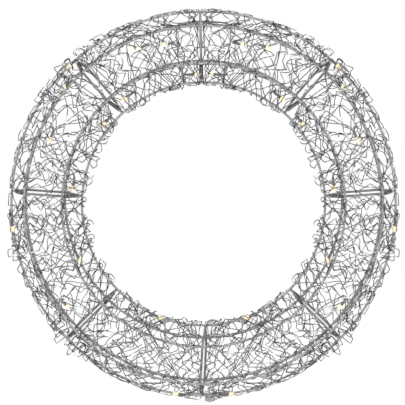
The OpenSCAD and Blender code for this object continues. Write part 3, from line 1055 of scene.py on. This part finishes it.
def copied(name, model, moves, finish):
    """One piece made of a copy of the model for each move."""
    copies = [placed(name, model.data.copy()) for _ in moves]
    bpy.data.objects.remove(model)
    select_only(copies[0])
    for copy, move in zip(copies, moves):
        copy.data.transform(move)
        copy.select_set(True)
    bpy.ops.object.join()
    dress(copies[0], finish)
    return copies[0]


def lamp_copies(name, model, finish, crease):
    """One piece made of a copy of the model at every lamp."""
    mark = model.data.attributes.new("height_mm", "FLOAT", "POINT")
    mark.data.foreach_set("value", [v.co.z / MM for v in model.data.vertices])
    moves = []
    for i, lamp in enumerate(LAMPS):
        base, way = lamp_axis(lamp)
        turn = Vector(way).to_track_quat("Z", "Y").to_matrix().to_4x4()
        spin = Matrix.Rotation(i * LAMP_SPIN, 4, "Z")
        moves.append(Matrix.Translation(Vector(base * MM)) @ turn @ spin)
    piece = copied(name, model, moves, finish)
    bpy.ops.object.shade_smooth_by_angle(angle=math.radians(crease))
    return piece


# %% Lamp finishes
# Clear epoxy, cast in a polished mould: glassy, and filled with the chip's warm light, most near its base
epoxy, tree, shader = new_material("lit_epoxy_bulb")
height = add_node(tree, "Attribute", attribute_name="height_mm").outputs["Fac"]
feed(tree, shader, {"Base Color": colour("#fff8e4"), "Roughness": 0.08, "IOR": 1.5,
                    "Transmission Weight": 0.6, "Emission Color": colour("#ffeaa6"),
                    "Emission Strength": spread(tree, height, 0, BULB_L, 0.18, 0.06)})

# Phosphor powder set in resin over the chip: grains a third of a millimetre across, pale to deep yellow
phosphor, tree, shader = new_material("yellow_phosphor")
grains = tones(tree, speckle(tree, 0.35, 2.0), (0.35, "#e8c66c"), (0.65, "#f7e5a8"))
feed(tree, shader, {"Base Color": grains, "Roughness": 0.6,
                    "Emission Color": colour("#ffefb8"), "Emission Strength": 0.7})

# Depth of the creases in soft plastic
CREASE_DEPTH = 0.12


def soft_plastic(name, dark, light, mottle_mm, bump, rough):
    """Moulded, drawn or shrunk plastic: a satin grey that mottles, with creases of the same size."""
    material, tree, shader = new_material(name)
    mottle = speckle(tree, mottle_mm, 3.0)
    feed(tree, shader, {"Base Color": tones(tree, mottle, (0, dark), (1, light)), "Roughness": rough,
                        "IOR": 1.5, "Normal": relief(tree, mottle, bump, CREASE_DEPTH)})
    return material


# Polyolefin tube, shrunk on with hot air: it creases a little as it draws in
shrink = soft_plastic("shrunk_polyolefin", "#434446", "#67686a", mottle_mm=0.9, bump=0.4, rough=0.5)

# %% Bulbs, chips and necks
# Profiles are radii and heights. A cut is what a profile has lost from its full radius.
bulb_r, rim_r, neck_r = BULB_D / 2, BULB_D / 2 + BULB_RIM, NECK_D / 2
dome = [(bulb_r * math.cos(a), BULB_L - bulb_r + bulb_r * math.sin(a))
        for a in np.radians([0, 18, 36, 54, 70, 82])]
bulb_profile = [(0.9, 0.02), (rim_r - 0.12, 0.02), (rim_r, 0.14), (rim_r, 0.68), (rim_r - 0.12, 0.8),
                (bulb_r, 0.84)] + dome + [(0.05, BULB_L)]
chip_profile = [(0.5, 0.05), (0.7, 0.25), (0.7, 2.2), (0.55, 2.5), (0.2, 2.6)]
neck_cuts = [(0.35, -NECK_L), (0.12, -NECK_L + 0.1), (0, -NECK_L + 0.6), (0.14, -NECK_L + 2.2),
             (0.18, -4.4), (0.02, -3.2), (0, -1.2), (0.02, -0.2), (0.2, 0)]
neck_profile = [(neck_r - cut, z) for cut, z in neck_cuts]
bulbs = lamp_copies("led_bulbs_moulded", turned("bulb", bulb_profile, 20), epoxy, 40)
chips = lamp_copies("led_chips_dotted", turned("chip", chip_profile, 10), phosphor, 40)
necks = lamp_copies("led_necks_shrunk", turned("neck", neck_profile, 16), shrink, 50)
keep(bulbs, "lamp", "led_bulbs")
keep(chips, "phosphor", "led_chips")
keep(necks, "grey_plastic", "led_necks")

# %% [markdown]
# ## Cable and lead sleeve
# The cable is thin grey PVC. It keeps the route of the CAD cable with more points, so that it bends
# smoothly. Under the ring the supply lead would go into a small moulded sleeve with a bore. The lead itself
# isn't shown, so only the sleeve is made: a turned barrel with soft, tapered ends.

# %% Cable
# Soft PVC, drawn over the strands: smooth, with a faint mottle from the die
pvc = soft_plastic("grey_pvc", "#55565a", "#77787b", mottle_mm=3, bump=0.2, rough=0.45)
cable = drawn_wire("string_cable_drawn", cable_routes, CABLE_R, 2, pvc)
keep(cable, "grey_plastic", "string_cable")

# %% Lead sleeve
barrel_r, bore_r, bore_l = SLEEVE_D / 2, 1.5, 8
bore = [(0.15, bore_l), (bore_r, bore_l), (bore_r, 0.35), (bore_r + 0.12, 0.08), (bore_r + 0.3, 0)]
barrel_cuts = [(0.5, 0.12), (0.35, 0.9), (0.14, 2.1), (0.03, 3.6), (0, 5.0), (0.04, 6.4), (0.2, 7.8),
               (0.5, 9.0), (0.95, 10.0), (1.45, 10.7)]
barrel = [(barrel_r - cut, z) for cut, z in barrel_cuts] + [(0.4, SLEEVE_L)]
# Moulded PVC, paler than the cable, with the dull skin that the mould gives it
moulded = soft_plastic("moulded_grey_pvc", "#7c7d7e", "#a2a3a4", mottle_mm=2, bump=0.25, rough=0.55)
sleeve = turned("lead_sleeve_moulded", bore + barrel, 32)
sleeve_place = Matrix.Translation((SLEEVE_X * MM, 0, SLEEVE_Z * MM))
sleeve.data.transform(sleeve_place @ Matrix.Rotation(math.pi / 2, 4, "Y"))
select_only(sleeve)
bpy.ops.object.shade_smooth_by_angle(angle=math.radians(50))
dress(sleeve, moulded)
keep(sleeve, "grey_plastic", "lead_sleeve")

# %% [markdown]
# ## Welds
# At each bend a rib is spot-welded to the inside of a hoop. The two wires are pressed together while they
# melt, so a flat nugget of metal swells out between them, darker than the wire round it. One nugget is made
# of a sphere, flattened and dented, and copied to every crossing.

# %% Spot welds
NUGGET_R = 1.25
NUGGET_SHAPE = (1.25, 0.8, 1.2)
NUGGET_DENT = 0.12
# Weld metal, burnt by the current and then zinc-dipped: darker, rougher and more mottled than the wire
weld_finish = zinc_wire("tinted_weld_metal", "#4a4947", "#6e6d6a", cloud_mm=1.2, rough=(0.45, 0.65),
                        bump=0.6, metal=0.4)
bpy.ops.mesh.primitive_uv_sphere_add(segments=14, ring_count=9, radius=NUGGET_R * MM)
nugget = bpy.context.object
edit_all()
bpy.ops.transform.resize(value=NUGGET_SHAPE)
bpy.ops.transform.vertex_random(offset=NUGGET_DENT * MM, uniform=0.3, normal=0.7, seed=5)
bpy.ops.mesh.vertices_smooth(factor=0.4)
edit_done()
moves = []
for rib in range(len(RIBS)):
    angle = RIB_ANGLES[rib]
    across = along_ring(angle)
    for i in range(SIDES):
        seat = on_ring(CORNERS[i] - corner_out[i] * (HOOP_R - WELD_SINK / 2), angle)
        seat = out_of_true(leaning([seat], rib))[0]
        out = unit(on_ring(corner_out[i], angle))
        turn = Matrix(np.stack([across, out, np.cross(across, out)], axis=1).tolist()).to_4x4()
        moves.append(Matrix.Translation(Vector(seat * MM)) @ turn)
welds = copied("spot_welds", nugget, moves, weld_finish)
bpy.ops.object.shade_smooth()
keep(welds, "hoop_wire")
print("welds:", len(moves))
